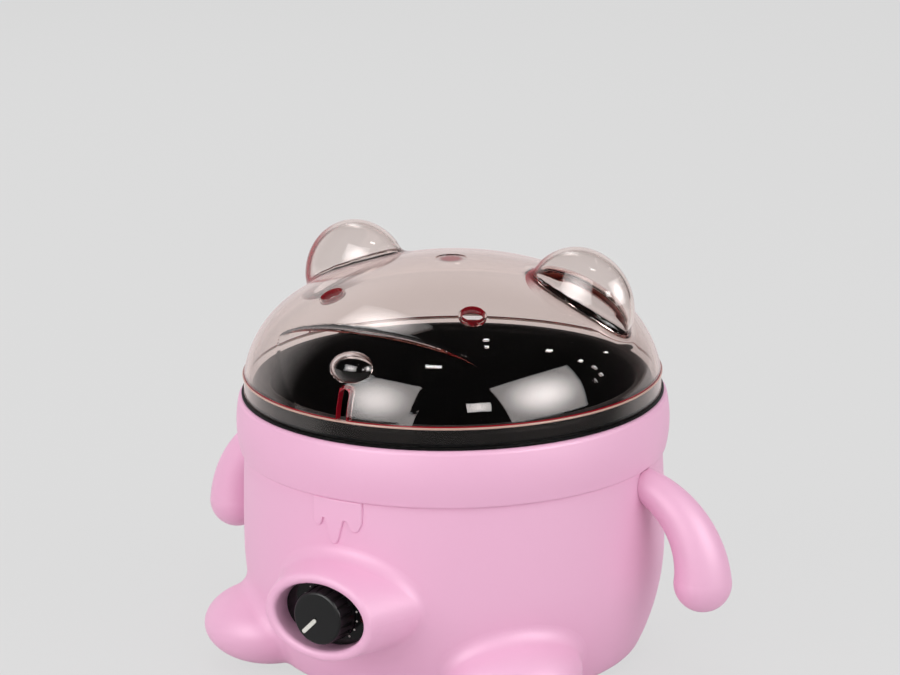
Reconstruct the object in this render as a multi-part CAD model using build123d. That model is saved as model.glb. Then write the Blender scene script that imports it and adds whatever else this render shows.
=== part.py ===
from build123d import *
import os
from math import asin, atan2, cos, degrees, radians, sin, sqrt

# A table-top wax warmer in the shape of a bear. Millimetres. The table is z = 0, the pot's
# axis is Z and the bear faces -Y. Left and right are as seen from the front, -X and +X.

# Clearances
fit_gap = 0.3            # between pieces that lift out or turn
seat_gap = 0.1           # between pieces that are fastened to each other
shaft_gap = 0.05         # radial, shaft in its bush
thread_gap = 0.05        # radial, screw in its hole
overcut = 1.0            # how far a cut reaches past the piece it is taken from

# Stack of heights
pad_height = 2.2         # rubber ring under the base
pad_seat_depth = 1.0     # how far the ring sits in the base cover
cover_thickness = 2.4
tub_foot_z = 2.6         # lower edge of the tub
collar_top_z = 97.0
collar_height = 20.2
neck_drop = 6.0          # from the collar's top down to the edge of the tub's neck
rim_rise = 7.0           # from the collar's top up to the bead line round the lid

# Tub
tub_wall = 2.6
tub_shoulder_r = 75.0
tub_swell = 1.0          # how far the belly stands out from the shoulder
tub_belly_z = 42.0
tub_under_curve = 85.0   # radius of the wall's curve below the belly
tub_foot_round = 5.0
tub_lip = 2.6
tub_sole = 5.9           # from the wall's foot in to the opening under the tub
neck_step = 1.2          # from the shoulder in to the neck
neck_wall = 2.4
snap_bead_r = 0.5
snap_bead_rise = 7.2     # above the collar's foot

# Feet of the bear, bulges of the tub
paw_x = 50.0
paw_inset = 8.0          # of its centre, in from the belly
paw_z = 14.6
paw_r = 24.0
paw_half_height = 14.0
paw_blend = 6.0

# Belly boss with the dial, an oval that widens towards the tub
boss_z = 39.5
boss_half_width = 21.2
boss_half_height = 15.4
boss_reach = 16.0        # of the rim, out from the belly
boss_depth = 14.0        # of the root, in from the belly
boss_flare_x = 10.8      # growth of the half width from the rim to the root
boss_flare_z = 2.4
boss_blend = 5.0
boss_rim_width = 3.5
boss_rim_round = 1.6
recess_depth = 9.0
recess_floor = 2.4

# Wax drips, a low relief under the collar: place, half width, radius of the tip and length of each
drip_relief = 0.8
drip_edge_round = 0.6
drip_notch_round = 0.4
drip_band = 7.4          # from the collar down to the notches between the drips
drips = ((-9.7, 2.1, 1.8, 10.4), (-2.9, 3.8, 1.8, 16.0), (5.1, 3.0, 2.1, 10.9))

# Collar
collar_step = 1.2        # from the tub's shoulder out to the collar's top and foot
collar_swell = 1.3       # how far its middle stands out
collar_top_wall = 2.0
collar_hole_gap = 2.2    # round the heating well
collar_top_round = 1.8
collar_foot_round = 1.0

# Arms
arm_curve = 34.8         # radius of the arm's centre line
arm_turn = 72.0          # degrees from the shoulder to the paw
arm_reach = 21.9         # of the paw's centre, out from the belly
arm_drop = 38.3          # of the paw's centre, below the collar
arm_y = 4.0
arm_shoulder_r = 5.8
arm_paw_r = 10.2
arm_sections = 6
arm_screw_drop = 6.8     # below the collar

# Wax pot
pot_wall = 1.3
pot_depth = 44.0         # below the top of its flange
pot_corner = 9.0
pot_flange = 1.2
pot_flange_inset = 0.8   # inside the collar's edge
pot_flange_round = 0.48
pot_rim_height = 5.4     # of the rolled rim inside the lid's skirt, above the flange
pot_rim_round = 2.4

# Heating well
well_wall = 1.2
well_gap = 0.5           # round and under the pot
well_flange_inset = 0.4  # inside the neck's edge
gasket_thickness = 1.4
lug_r = 2.5
lug_gap = 0.8            # from the well to the lugs in the neck
lug_length = 11.0
lug_count = 4
lug_angle = 45.0

# Heater under the well
heater_inset = 23.0      # inside the well's wall
heater_bore_r = 9.0
heater_thickness = 2.5
mica_thickness = 1.0
clamp_inset = 3.0        # inside the heater's edge
clamp_thickness = 1.2
stud_r = 3.0
stud_length = 11.0
nut_across = 10.0
nut_height = 4.0
terminal_r = 1.5
terminal_hole_r = 3.0
terminal_x = 8.0
terminal_inset = 13.0    # inside the heater's edge
terminal_length = 6.0

# Thermostat with its sensing bulb
stat_width = 24.0
stat_height = 17.0
stat_depth = 14.0
stat_round = 1.6
bush_r = 3.6
bush_length = 5.4
bush_nut_across = 10.0
bush_nut_height = 2.2
shaft_r = 2.5
shaft_flat = 1.4         # from the axis to the shaft's flat
shaft_sunk = 5.0         # how far the shaft reaches into the thermostat
blade_width = 6.3
blade_thickness = 0.8
blade_length = 8.0
blade_x = 7.0
bulb_r = 2.5
bulb_length = 50.0
bulb_gap = 4.0           # outside the heater's edge
bulb_clip_x = 15.0
capillary_r = 0.8
capillary_bend = 8.0
capillary_x = 9.0        # where it leaves the thermostat
capillary_rise = 5.5
capillary_stub = 12.0    # straight run at each end
capillary_sunk = 1.0     # into the bulb
capillary_route = ((-38, -34, 41), (-53, 0, 40), (-48, 36, 43))

# Dial
dial_plate_thickness = 1.2
dial_plate_bore_r = 6.6
knob_r = 10.2
knob_front_r = 9.4
knob_height = 8.0
knob_round = 1.0
knob_flutes = 18
knob_flute_r = 0.9
knob_cavity_depth = 3.0
knob_cap = 1.2
pointer_width = 1.6
pointer_depth = 0.6
pointer_angle = 225.0    # of the off position, from +X, seen from the front
lens_r = 1.8
lens_offset = 14.0       # to the right of the dial's axis
lens_proud = 0.8
lamp_length = 12.0

# Base
cover_gap = 0.4
pad_inset = 3.4          # inside the opening under the tub
pad_width = 7.0
post_inset = 7.0         # inside the pad's bore
post_r = 4.2
post_height = 12.0
post_count = 4
post_angle = 20.0
rib_thickness = 2.4
vent_inset = 11.0        # of the outer ring of vents, inside the ring of posts
vent_ring_step = 8.0
vent_core_r = 12.0       # no vents within this
vent_count = 12
vent_length = 6.0
vent_width = 2.4

# Mains inlet at the back
inlet_z = 21.0
inlet_width = 24.0
inlet_height = 14.0
inlet_flange = 1.8
inlet_flange_rim = 2.0
inlet_depth = 19.0
socket_width = 15.4
socket_height = 8.4
socket_depth = 14.0
pin_r = 1.2
pin_pitch = 8.6
pin_length = 10.0
tail_length = 7.0        # of the pins, behind the inlet
panel_depth = 10.0       # of the flat panel on the tub
panel_margin = 3.0
panel_round = 2.0

# Screws
screw_r = 1.3
screw_head_r = 2.2
screw_head = 1.2
screw_length = 8.0
screw_slot = 0.6

# Wiring and thermal fuse
wire_r = 1.1
wire_bend = 4.0
wire_stub = 9.0          # straight run at each end
live_route = ((-26, 18, 12), (-26, -24, 14))
thermostat_route_y = -28.0
fuse_route = (0, 25)
fuse_wire_sag = 13.0     # below the fuse
fuse_r = 2.2
fuse_length = 12.0
fuse_x = 20.0
clip_thickness = 0.8
clip_width = 5.0
clip_foot = 5.0

# Lid
lid_wall = 2.8
lid_height = 41.0
lid_inset = 0.4          # inside the pot's flange
lid_crown = 117.0        # radius of the flat curve over the top
lid_shoulder = 38.5
lid_bead = 0.1           # how far the bead stands out
lid_bead_width = 4.0
lid_bead_height = 1.1
gate_r = 5.5
gate_depth = 0.4
ear_inset = 29.4         # of its centre, sideways from the lid's edge
ear_y = 10.0
ear_sink = 5.1           # of its centre, below the dome
ear_r = 21.2
ear_lean = 4.0           # degrees towards the back
ear_half_thickness = 12.0
ear_blend = 1.6
muzzle_rise = 1.4
muzzle_inset = 28.4      # of its end, sideways from the lid's edge
muzzle_half_height = 16.0
muzzle_z = 11.4
nose_half_width = 8.6
nose_r = 6.0
nose_sink = 1.6          # of its centre, inside the dome
nose_z = 16.5
eye_r = 4.0
eye_inset_x = 46.5       # of its centre, sideways from the lid's edge
eye_inset_y = 40.7       # of its centre, back from the lid's front
mouth_width = 4.0
mouth_foot = 0.6
mouth_top = 11.0

# Heights and radii that follow from the sizes above
collar_bottom_z = collar_top_z - collar_height
tub_top_z = collar_top_z - neck_drop
lid_rim_z = collar_top_z + rim_rise
cover_under_z = pad_height - pad_seat_depth
cover_top_z = cover_under_z + cover_thickness
tub_belly_r = tub_shoulder_r + tub_swell
tub_curve_r = tub_belly_r - tub_under_curve
tub_foot_r = tub_curve_r + sqrt(tub_under_curve ** 2 - (tub_belly_z - tub_foot_z) ** 2)
tub_mouth_r = tub_foot_r - tub_sole
pad_r = tub_mouth_r - pad_inset
pad_bore_r = pad_r - pad_width
post_ring_r = pad_bore_r - post_inset
vent_ring_r = post_ring_r - vent_inset
paw_ring_r = tub_belly_r - paw_inset
paw_angle = degrees(asin(paw_x / paw_ring_r))
neck_r = tub_shoulder_r - neck_step
neck_bore_r = neck_r - neck_wall
snap_bead_z = collar_bottom_z + snap_bead_rise
lug_ring_r = neck_r - lug_r
well_outer_r = lug_ring_r - lug_r - lug_gap
well_r = well_outer_r - well_wall
well_flange_r = neck_r - well_flange_inset
pot_r = well_r - well_gap - pot_wall
collar_edge_r = tub_shoulder_r + collar_step
collar_r = collar_edge_r + collar_swell
collar_bore_r = neck_r + seat_gap
collar_hole_r = well_outer_r + collar_hole_gap
pot_flange_r = collar_edge_r - pot_flange_inset
arm_tip_x = tub_belly_r + arm_reach
arm_tip_z = collar_bottom_z - arm_drop
arm_screw_z = collar_bottom_z - arm_screw_drop
gasket_top_z = tub_top_z + gasket_thickness
pot_top_z = collar_top_z + pot_flange
pot_floor_z = pot_top_z - pot_depth
well_floor_z = pot_floor_z - pot_wall - well_gap
heater_r = well_outer_r - heater_inset
clamp_r = heater_r - clamp_inset
terminal_y = heater_r - terminal_inset
bulb_y = heater_r + bulb_gap + bulb_r
heater_top_z = well_floor_z - well_wall
mica_top_z = heater_top_z - heater_thickness
clamp_top_z = mica_top_z - mica_thickness
clamp_under_z = clamp_top_z - clamp_thickness
terminal_end_z = mica_top_z - terminal_length
bulb_z = heater_top_z - bulb_r - seat_gap
fuse_z = clamp_under_z - fuse_r - seat_gap
boss_front = tub_belly_r + boss_reach
boss_root = tub_belly_r - boss_depth
recess_front = boss_front - recess_depth
stat_front = recess_front - recess_floor
stat_back = stat_front - stat_depth
dial_front = recess_front + dial_plate_thickness
knob_foot = dial_front + fit_gap
knob_top = knob_foot + knob_height
shaft_top = knob_top - knob_cap - fit_gap
inlet_face_y = tub_belly_r
inlet_back_y = inlet_face_y - inlet_depth
panel_root_y = inlet_face_y - panel_depth
lid_r = pot_flange_r - lid_inset      # where the shoulder's curve would stand upright
lid_skirt = lid_rim_z - pot_top_z
lid_centre_r = lid_r - lid_shoulder
lid_crown_z = lid_height - lid_crown
lid_shoulder_z = lid_crown_z + sqrt((lid_crown - lid_shoulder) ** 2 - lid_centre_r ** 2)
ear_x = lid_r - ear_inset
ear_z = lid_crown_z + sqrt(lid_crown ** 2 - ear_x ** 2 - ear_y ** 2) - ear_sink
muzzle_half_width = lid_r - muzzle_inset
eye_x = lid_r - eye_inset_x
eye_y = eye_inset_y - lid_r
nose_y = nose_sink - lid_centre_r - sqrt(lid_shoulder ** 2 - (nose_z - lid_shoulder_z) ** 2)


def lid_foot_r(inset):
    return lid_centre_r + sqrt((lid_shoulder - inset) ** 2 - lid_shoulder_z ** 2)


pot_rim_r = lid_foot_r(lid_wall) - fit_gap

upright = (Align.CENTER, Align.CENTER, Align.MIN)
dial_frame = Plane(origin=(0, 0, boss_z), x_dir=(1, 0, 0), z_dir=(0, -1, 0))
back_frame = Plane(origin=(0, 0, inlet_z), x_dir=(-1, 0, 0), z_dir=(0, 1, 0))


# Helpers for round pieces, screws and wires

def turned(*edges):
    return revolve(make_face([Plane.XZ * edge for edge in edges]), Axis.Z)


def disc(r, low, high):
    return Pos(0, 0, low) * Cylinder(r, high - low, align=upright)


def ring(r, bore_r, low, high):
    return disc(r, low, high) - disc(bore_r, low - overcut, high + overcut)


def spheroid(r, half_height):
    arc = EllipticalCenterArc((0, 0), r, half_height, start_angle=-90, arc_size=180)
    return turned(arc, Line((0, half_height), (0, -half_height)))


def hex_nut(across, bore_r, height):
    blank = extrude(RegularPolygon(across / 2, 6, major_radius=False), height)
    return blank - disc(bore_r, -overcut, height + overcut)


def screw():
    shank = disc(screw_r, -screw_length, 0)
    head = disc(screw_head_r, 0, screw_head)
    head = fillet(head.edges().sort_by(Axis.Z)[-1], screw_head / 2)
    cut = Pos(0, 0, screw_head) * Box(2 * screw_head_r, screw_slot, screw_head)
    cross = Pos(0, 0, screw_head) * Box(screw_slot, 2 * screw_head_r, screw_head)
    return shank + head - cut - cross


def screw_hole(depth):
    return disc(screw_r + thread_gap, -depth, depth)


def tube(points, bend, r):
    path = FilletPolyline(*points, radius=bend)
    section = Plane(origin=path @ 0, z_dir=path % 0) * Circle(r)
    return sweep(section, path=path)


def saddle_clip(rod_r):
    # a strap under a rod that lies along X, its axis at the origin, with a foot on the ceiling
    inner = rod_r + seat_gap
    outer = inner + clip_thickness
    loop = Circle(outer) - Circle(inner)
    loop -= Pos(0, outer) * Rectangle(2 * outer, 2 * outer)
    foot = Pos(-outer - clip_foot / 2 + clip_thickness, 0) * Rectangle(clip_foot, clip_thickness)
    leg_height = inner
    legs = [
        Pos(side * (inner + clip_thickness / 2), leg_height / 2) * Rectangle(clip_thickness, leg_height)
        for side in (-1, 1)
    ]
    foot = Pos(0, leg_height - clip_thickness / 2) * foot
    strap = loop + legs + foot
    return extrude(Plane.YZ * strap, clip_width / 2, both=True)


def around(r, count, first_angle):
    return [Rot(0, 0, first_angle + 360 / count * i) * Pos(r, 0, 0) for i in range(count)]


lug_places = around(lug_ring_r, lug_count, lug_angle)
post_places = around(post_ring_r, post_count, post_angle)
arm_screw_place = Plane(
    origin=(sqrt((tub_shoulder_r - tub_wall) ** 2 - arm_y ** 2) - seat_gap, arm_y, arm_screw_z),
    z_dir=(-1, 0, 0),
).location


# Tub

def tub_form(inset, bottom_z, shoulder_z, top_r):
    foot_r = tub_curve_r + sqrt((tub_under_curve - inset) ** 2 - (tub_belly_z - bottom_z) ** 2)
    foot = (foot_r, bottom_z)
    belly = (tub_belly_r - inset, tub_belly_z)
    shoulder = (tub_shoulder_r - inset, shoulder_z)
    return turned(
        Polyline((0, tub_top_z), (0, bottom_z), foot),
        TangentArc(belly, foot, tangent=(0, -1)),
        TangentArc(belly, shoulder, tangent=(0, 1)),
        Polyline(shoulder, (top_r, shoulder_z), (top_r, tub_top_z), (0, tub_top_z)),
    )


def paws(inset):
    paw = spheroid(paw_r - inset, paw_half_height - inset)
    turns = [Rot(0, 0, side * paw_angle - 90) for side in (-1, 1)]
    return [turn * Pos(paw_ring_r, 0, paw_z) * Rot(0, 0, 180) * paw for turn in turns]


def boss_form(inset, front):
    sections = []
    for y in (boss_root, front):
        share = (boss_front - y) / (boss_front - boss_root)
        half_width = boss_half_width + boss_flare_x * share - inset
        half_height = boss_half_height + boss_flare_z * share - inset
        sections.append(dial_frame * Pos(0, 0, y) * Ellipse(half_width, half_height))
    return loft(sections, ruled=True)


def recess_form(inset, low, high):
    oval = Ellipse(boss_half_width - boss_rim_width - inset, boss_half_height - boss_rim_width - inset)
    return dial_frame * Pos(0, 0, low) * extrude(oval, high - low)


def make_boss():
    boss = boss_form(0, boss_front) - recess_form(0, recess_front, boss_front + overcut)
    return fillet(boss.edges().group_by(Axis.Y)[0], boss_rim_round)


def make_drips():
    left = drips[0][0] - drips[0][1]
    right = drips[-1][0] + drips[-1][1]
    band_z = collar_bottom_z - drip_band
    flat = Pos((left + right) / 2, band_z + drip_band / 2) * Rectangle(right - left, drip_band)
    for x, half, r, length in drips:
        root = Line((x - half, band_z), (x + half, band_z))
        tip = CenterArc((x, collar_bottom_z - length + r), r, 180, 180)
        flat += make_hull([root, tip])
    notches = [v for v in flat.vertices() if abs(v.Y - band_z) < seat_gap and left < v.X < right]
    flat = fillet(notches, drip_notch_round)
    sheet = extrude(Plane.XZ * flat, 2 * tub_belly_r)
    relief = sheet & tub_form(-drip_relief, tub_foot_z, collar_bottom_z, neck_r)
    return fillet(relief.faces().sort_by(Axis.Y)[0].edges(), drip_edge_round)


def make_tub():
    outer = tub_form(0, tub_foot_z, collar_bottom_z, neck_r)
    outer = fillet(outer.edges().filter_by(GeomType.CIRCLE).sort_by(Axis.Z)[0], tub_foot_round)
    feet = paws(0)
    body = outer + feet
    body = fillet(new_edges(outer, *feet, combined=body), paw_blend)
    boss = make_boss()
    joined = body + boss
    body = fillet(new_edges(body, boss, combined=joined), boss_blend)
    body += make_drips()
    panel = Box(
        inlet_width + 2 * panel_margin,
        inlet_face_y - panel_root_y,
        inlet_height + 2 * panel_margin,
    )
    panel = fillet(panel.edges().filter_by(Axis.Y), panel_round)
    body += Pos(0, (inlet_face_y + panel_root_y) / 2, inlet_z) * panel
    snap = turned(CenterArc((neck_r, snap_bead_z), snap_bead_r, -90, 180),
                  Line((neck_r, snap_bead_z + snap_bead_r), (neck_r, snap_bead_z - snap_bead_r)))
    body += snap

    hollow = tub_form(tub_wall, tub_foot_z + tub_lip, collar_bottom_z - tub_wall, neck_bore_r)
    hollow = hollow + paws(tub_wall) + boss_form(tub_wall, stat_front)
    body -= hollow
    body -= disc(tub_mouth_r, 0, tub_foot_z + tub_lip)

    neck_solid = disc(neck_r, 0, tub_top_z)
    lug = disc(lug_r, tub_top_z - lug_length, tub_top_z)
    body += [(place * lug) & neck_solid for place in lug_places]
    body -= [place * Pos(0, 0, tub_top_z) * screw_hole(screw_length) for place in lug_places]

    skin = tub_form(tub_wall / 2, tub_foot_z, collar_bottom_z, neck_r - neck_wall / 2)
    rib_reach = tub_belly_r - post_ring_r
    rib = Pos(rib_reach / 2, 0, cover_top_z) * Box(rib_reach, rib_thickness, post_height, align=upright)
    post = disc(post_r, cover_top_z, cover_top_z + post_height)
    body += [place * post for place in post_places]
    body += [(place * rib) & skin for place in post_places]
    pilot = disc(screw_r + thread_gap, cover_top_z - overcut, cover_top_z + screw_length)
    body -= [place * pilot for place in post_places]

    body -= dial_frame * disc(bush_r + thread_gap, stat_front - overcut, boss_front)
    body -= dial_frame * Pos(lens_offset, 0) * disc(lens_r + thread_gap, stat_front - overcut, boss_front)
    body -= back_frame * Pos(0, 0, inlet_back_y) * Box(
        inlet_width - 2 * inlet_flange_rim + 2 * seat_gap,
        inlet_height - 2 * inlet_flange_rim + 2 * seat_gap,
        2 * inlet_depth,
    )
    for side in (-1, 1):
        hole = arm_screw_place * screw_hole(screw_length)
        body -= hole if side > 0 else mirror(hole, Plane.YZ)
    return body


# Collar, arms and the screws that hold them

def collar_form(swell):
    foot = (collar_edge_r + swell, collar_bottom_z)
    top = (collar_edge_r + swell, collar_top_z)
    middle = (collar_r + swell, (collar_bottom_z + collar_top_z) / 2)
    return turned(
        ThreePointArc(foot, middle, top),
        Polyline(top, (0, collar_top_z), (0, collar_bottom_z), foot),
    )


def make_collar():
    collar = collar_form(0)
    rims = collar.edges().filter_by(GeomType.CIRCLE).sort_by(Axis.Z)
    collar = fillet(rims[-1], collar_top_round)
    collar = fillet(collar.edges().filter_by(GeomType.CIRCLE).sort_by(Axis.Z)[0], collar_foot_round)
    collar -= disc(collar_bore_r, collar_bottom_z - overcut, collar_top_z - collar_top_wall)
    collar -= disc(collar_hole_r, collar_bottom_z, collar_top_z + overcut)
    groove_r = snap_bead_r + seat_gap
    groove = turned(CenterArc((neck_r, snap_bead_z), groove_r, -90, 180),
                    Line((neck_r, snap_bead_z + groove_r), (neck_r, snap_bead_z - groove_r)))
    return collar - groove


def make_arm():
    centre_x = arm_tip_x - arm_curve
    sections = []
    for i in range(arm_sections):
        share = i / (arm_sections - 1)
        angle = radians(arm_turn * (1 - share))
        r = arm_shoulder_r + (arm_paw_r - arm_shoulder_r) * share
        origin = (centre_x + arm_curve * cos(angle), arm_y, arm_tip_z + arm_curve * sin(angle))
        place = Plane(origin=origin, x_dir=(0, 1, 0), z_dir=(sin(angle), 0, -cos(angle)))
        sections.append(place * Circle(r))
    arm = loft(sections)
    arm += Pos(arm_tip_x, arm_y, arm_tip_z) * Sphere(arm_paw_r)
    arm -= tub_form(-seat_gap, tub_foot_z, collar_bottom_z, neck_r)
    arm -= Pos(0, 0, -seat_gap) * collar_form(seat_gap)
    return arm - arm_screw_place * screw_hole(screw_length)


# Pot and heating well

def cup(r, floor_z, corner, top_z):
    return turned(
        Polyline((0, top_z), (0, floor_z), (r - corner, floor_z)),
        CenterArc((r - corner, floor_z + corner), corner, -90, 90),
        Polyline((r, floor_z + corner), (r, top_z), (0, top_z)),
    )


def make_pot():
    rim = ring(pot_rim_r, pot_r, pot_top_z, pot_top_z + pot_rim_height)
    rim = fillet(rim.edges().group_by(Axis.Z)[-1], pot_rim_round)
    flange = disc(pot_flange_r, collar_top_z, pot_top_z)
    flange = fillet(flange.edges().filter_by(GeomType.CIRCLE), pot_flange_round)
    wall = cup(pot_r + pot_wall, pot_floor_z - pot_wall, pot_corner + pot_wall, pot_top_z)
    inside = cup(pot_r, pot_floor_z, pot_corner, pot_top_z)
    return flange + wall - inside + rim


def make_well():
    corner = pot_corner + pot_wall + well_gap
    flange = disc(well_flange_r, gasket_top_z, gasket_top_z + well_wall)
    wall = cup(well_outer_r, heater_top_z, corner + well_wall, gasket_top_z + well_wall)
    inside = cup(well_r, well_floor_z, corner, collar_top_z)
    stud = disc(stud_r, heater_top_z - stud_length, heater_top_z)
    well = flange + wall - inside + stud
    return well - [place * Pos(0, 0, gasket_top_z) * screw_hole(screw_length) for place in lug_places]


def make_gasket():
    gasket = ring(well_flange_r, well_outer_r + seat_gap, tub_top_z, gasket_top_z)
    return gasket - [place * Pos(0, 0, tub_top_z) * screw_hole(screw_length) for place in lug_places]


# Heater under the well, held by a plate and a nut on the well's stud

terminal_places = [Pos(side * terminal_x, terminal_y, 0) for side in (-1, 1)]


def heater_layer(r, bore_r, low, high):
    holes = [place * disc(terminal_hole_r, low - overcut, high + overcut) for place in terminal_places]
    return ring(r, bore_r, low, high) - holes


def make_heater_nut():
    return Pos(0, 0, clamp_under_z - nut_height) * hex_nut(nut_across, stud_r + thread_gap, nut_height)


# Thermostat, its bulb and the dial

def make_thermostat():
    case = Pos(0, 0, (stat_front + stat_back) / 2) * Box(stat_width, stat_height, stat_depth)
    case = fillet(case.edges().filter_by(Axis.Z), stat_round)
    bush = disc(bush_r, stat_front, stat_front + bush_length)
    bore = disc(shaft_r + shaft_gap, stat_front - shaft_sunk - fit_gap, stat_front + bush_length + overcut)
    return dial_frame * (case + bush - bore)


def make_blades():
    blade = Box(blade_thickness, blade_width, blade_length, align=(Align.CENTER, Align.CENTER, Align.MAX))
    return [dial_frame * Pos(side * blade_x, 0, stat_back) * blade for side in (-1, 1)]


def d_shape(r, flat, low, high):
    cut = Pos(0, flat + r, (low + high) / 2) * Box(4 * r, 2 * r, high - low)
    return disc(r, low, high) - cut


def make_shaft():
    plain = disc(shaft_r, stat_front - shaft_sunk, stat_front + bush_length)
    flat = d_shape(shaft_r, shaft_flat, stat_front + bush_length, shaft_top)
    return dial_frame * Rot(0, 0, pointer_angle - 90) * (plain + flat)


def make_knob():
    side = extrude(Circle(knob_r), knob_height, taper=degrees(atan2(knob_r - knob_front_r, knob_height)))
    side = fillet(side.edges().sort_by(Axis.Z)[-1], knob_round)
    flute = disc(knob_flute_r, knob_round, knob_height + overcut)
    side -= [place * flute for place in around(knob_r, knob_flutes, 180 / knob_flutes)]
    knob = Pos(0, 0, knob_foot) * side
    knob -= disc(dial_plate_bore_r, knob_foot - overcut, knob_foot + knob_cavity_depth)
    knob -= Rot(0, 0, pointer_angle - 90) * d_shape(
        shaft_r + shaft_gap, shaft_flat + shaft_gap, knob_foot, shaft_top + fit_gap)
    mark = Pos(knob_front_r / 2, 0, knob_top) * Box(knob_front_r, pointer_width, 2 * pointer_depth)
    knob -= Rot(0, 0, pointer_angle) * mark
    return dial_frame * knob


def make_dial_plate():
    plate = recess_form(fit_gap, recess_front, dial_front)
    bore = disc(dial_plate_bore_r, recess_front - overcut, dial_front + overcut)
    lens_hole = disc(lens_r + thread_gap, recess_front - overcut, dial_front + overcut)
    return plate - dial_frame * bore - dial_frame * Pos(lens_offset, 0) * lens_hole


def make_lens():
    lens = disc(lens_r, stat_front, dial_front + lens_proud)
    lens = fillet(lens.edges().sort_by(Axis.Z)[-1], lens_proud)
    return dial_frame * Pos(lens_offset, 0) * lens


def make_lamp():
    lamp = disc(lens_r - seat_gap, stat_front - seat_gap - lamp_length, stat_front - seat_gap)
    lamp = fillet(lamp.edges().sort_by(Axis.Z)[0], lens_r / 2)
    return dial_frame * Pos(lens_offset, 0) * lamp


def make_bulb():
    bulb = Pos(0, bulb_y, bulb_z) * Rot(0, 90, 0) * Cylinder(bulb_r, bulb_length)
    bulb = fillet(bulb.edges().filter_by(GeomType.CIRCLE), bulb_r / 2)
    end_x = -bulb_length / 2
    line = tube(
        [
            (-capillary_x, -stat_back, boss_z + capillary_rise),
            (-capillary_x, -stat_back + capillary_stub, boss_z + capillary_rise),
            *capillary_route,
            (end_x - capillary_stub, bulb_y, bulb_z),
            (end_x + capillary_sunk, bulb_y, bulb_z),
        ],
        capillary_bend, capillary_r)
    return bulb + line


def make_bulb_clips():
    return [Pos(side * bulb_clip_x, bulb_y, bulb_z) * saddle_clip(bulb_r) for side in (-1, 1)]


# Mains inlet, thermal fuse and wires

def make_inlet():
    hollow_width = inlet_width - 2 * inlet_flange_rim
    hollow_height = inlet_height - 2 * inlet_flange_rim
    case = Box(hollow_width, hollow_height, inlet_depth, align=(Align.CENTER, Align.CENTER, Align.MAX))
    flange = Box(inlet_width, inlet_height, inlet_flange, align=upright)
    flange = fillet(flange.edges().filter_by(Axis.Z), inlet_flange_rim)
    flange = fillet(flange.edges().group_by(Axis.Z)[-1], inlet_flange / 2)
    socket = extrude(SlotOverall(socket_width, socket_height), -socket_depth)
    body = case + flange - Pos(0, 0, inlet_flange) * socket
    pin_holes = [
        Pos(side * pin_pitch / 2, 0, 0) * disc(pin_r + thread_gap, -inlet_depth - overcut, inlet_flange)
        for side in (-1, 1)
    ]
    return back_frame * Pos(0, 0, inlet_face_y) * (body - pin_holes)


def make_pins():
    floor = inlet_flange - socket_depth
    pin = disc(pin_r, -inlet_depth - tail_length, floor + pin_length)
    pin = fillet(pin.edges().sort_by(Axis.Z)[-1], pin_r / 2)
    return [back_frame * Pos(side * pin_pitch / 2, 0, inlet_face_y) * pin for side in (-1, 1)]


def make_fuse():
    fuse = Pos(fuse_x, 0, fuse_z) * Rot(90, 0, 0) * Cylinder(fuse_r, fuse_length)
    return fillet(fuse.edges().filter_by(GeomType.CIRCLE), fuse_r / 3)


def make_fuse_clip():
    return Pos(fuse_x, 0, fuse_z) * Rot(0, 0, 90) * saddle_clip(fuse_r)


tail_y = inlet_back_y - tail_length
blade_end_y = -stat_back + blade_length
wires = {
    "live_wire": [
        (-pin_pitch / 2, tail_y, inlet_z),
        (-pin_pitch / 2, tail_y - wire_stub, inlet_z),
        *live_route,
        (-blade_x, blade_end_y + wire_stub, boss_z),
        (-blade_x, blade_end_y, boss_z),
    ],
    "neutral_wire": [
        (pin_pitch / 2, tail_y, inlet_z),
        (pin_pitch / 2, tail_y - wire_stub, inlet_z),
        (terminal_x, terminal_y, inlet_z + wire_stub),
        (terminal_x, terminal_y, terminal_end_z),
    ],
    "thermostat_wire": [
        (blade_x, blade_end_y, boss_z),
        (blade_x, blade_end_y + wire_stub, boss_z),
        (fuse_x, thermostat_route_y, fuse_z),
        (fuse_x, -fuse_length / 2, fuse_z),
    ],
    "fuse_wire": [
        (fuse_x, fuse_length / 2, fuse_z),
        (fuse_x, fuse_length / 2 + wire_stub, fuse_z),
        (*fuse_route, fuse_z - wire_stub),
        (-terminal_x, terminal_y, fuse_z - fuse_wire_sag),
        (-terminal_x, terminal_y, terminal_end_z),
    ],
}


# Base

def make_cover():
    cover = disc(tub_mouth_r - cover_gap, cover_under_z, cover_top_z)
    cover -= ring(pad_r + seat_gap, pad_bore_r - seat_gap, 0, pad_height)
    for place in post_places:
        cover -= place * disc(screw_r + thread_gap, 0, cover_top_z + overcut)
        cover -= place * disc(screw_head_r + seat_gap, 0, cover_under_z + screw_head)
    vent = extrude(SlotOverall(vent_length, vent_width), cover_top_z + overcut)
    ring_r = vent_ring_r
    while ring_r > vent_core_r:
        cover -= [place * vent for place in around(ring_r, vent_count, 0)]
        ring_r -= vent_ring_step
    return cover


def make_base_screws():
    flipped = Pos(0, 0, cover_under_z + screw_head) * Rot(180, 0, 0) * screw()
    return [place * flipped for place in post_places]


# Lid

def dome_form(inset, drop):
    crown = lid_crown - inset
    shoulder = lid_shoulder - inset
    join = degrees(atan2(lid_shoulder_z - lid_crown_z, lid_centre_r))
    foot = degrees(asin(-lid_shoulder_z / shoulder))
    foot_r = lid_foot_r(inset)
    return turned(
        CenterArc((0, lid_crown_z), crown, join, 90 - join),
        CenterArc((lid_centre_r, lid_shoulder_z), shoulder, foot, join - foot),
        Polyline((foot_r, 0), (foot_r, -drop), (0, -drop), (0, lid_crown_z + crown)),
    )


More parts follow.
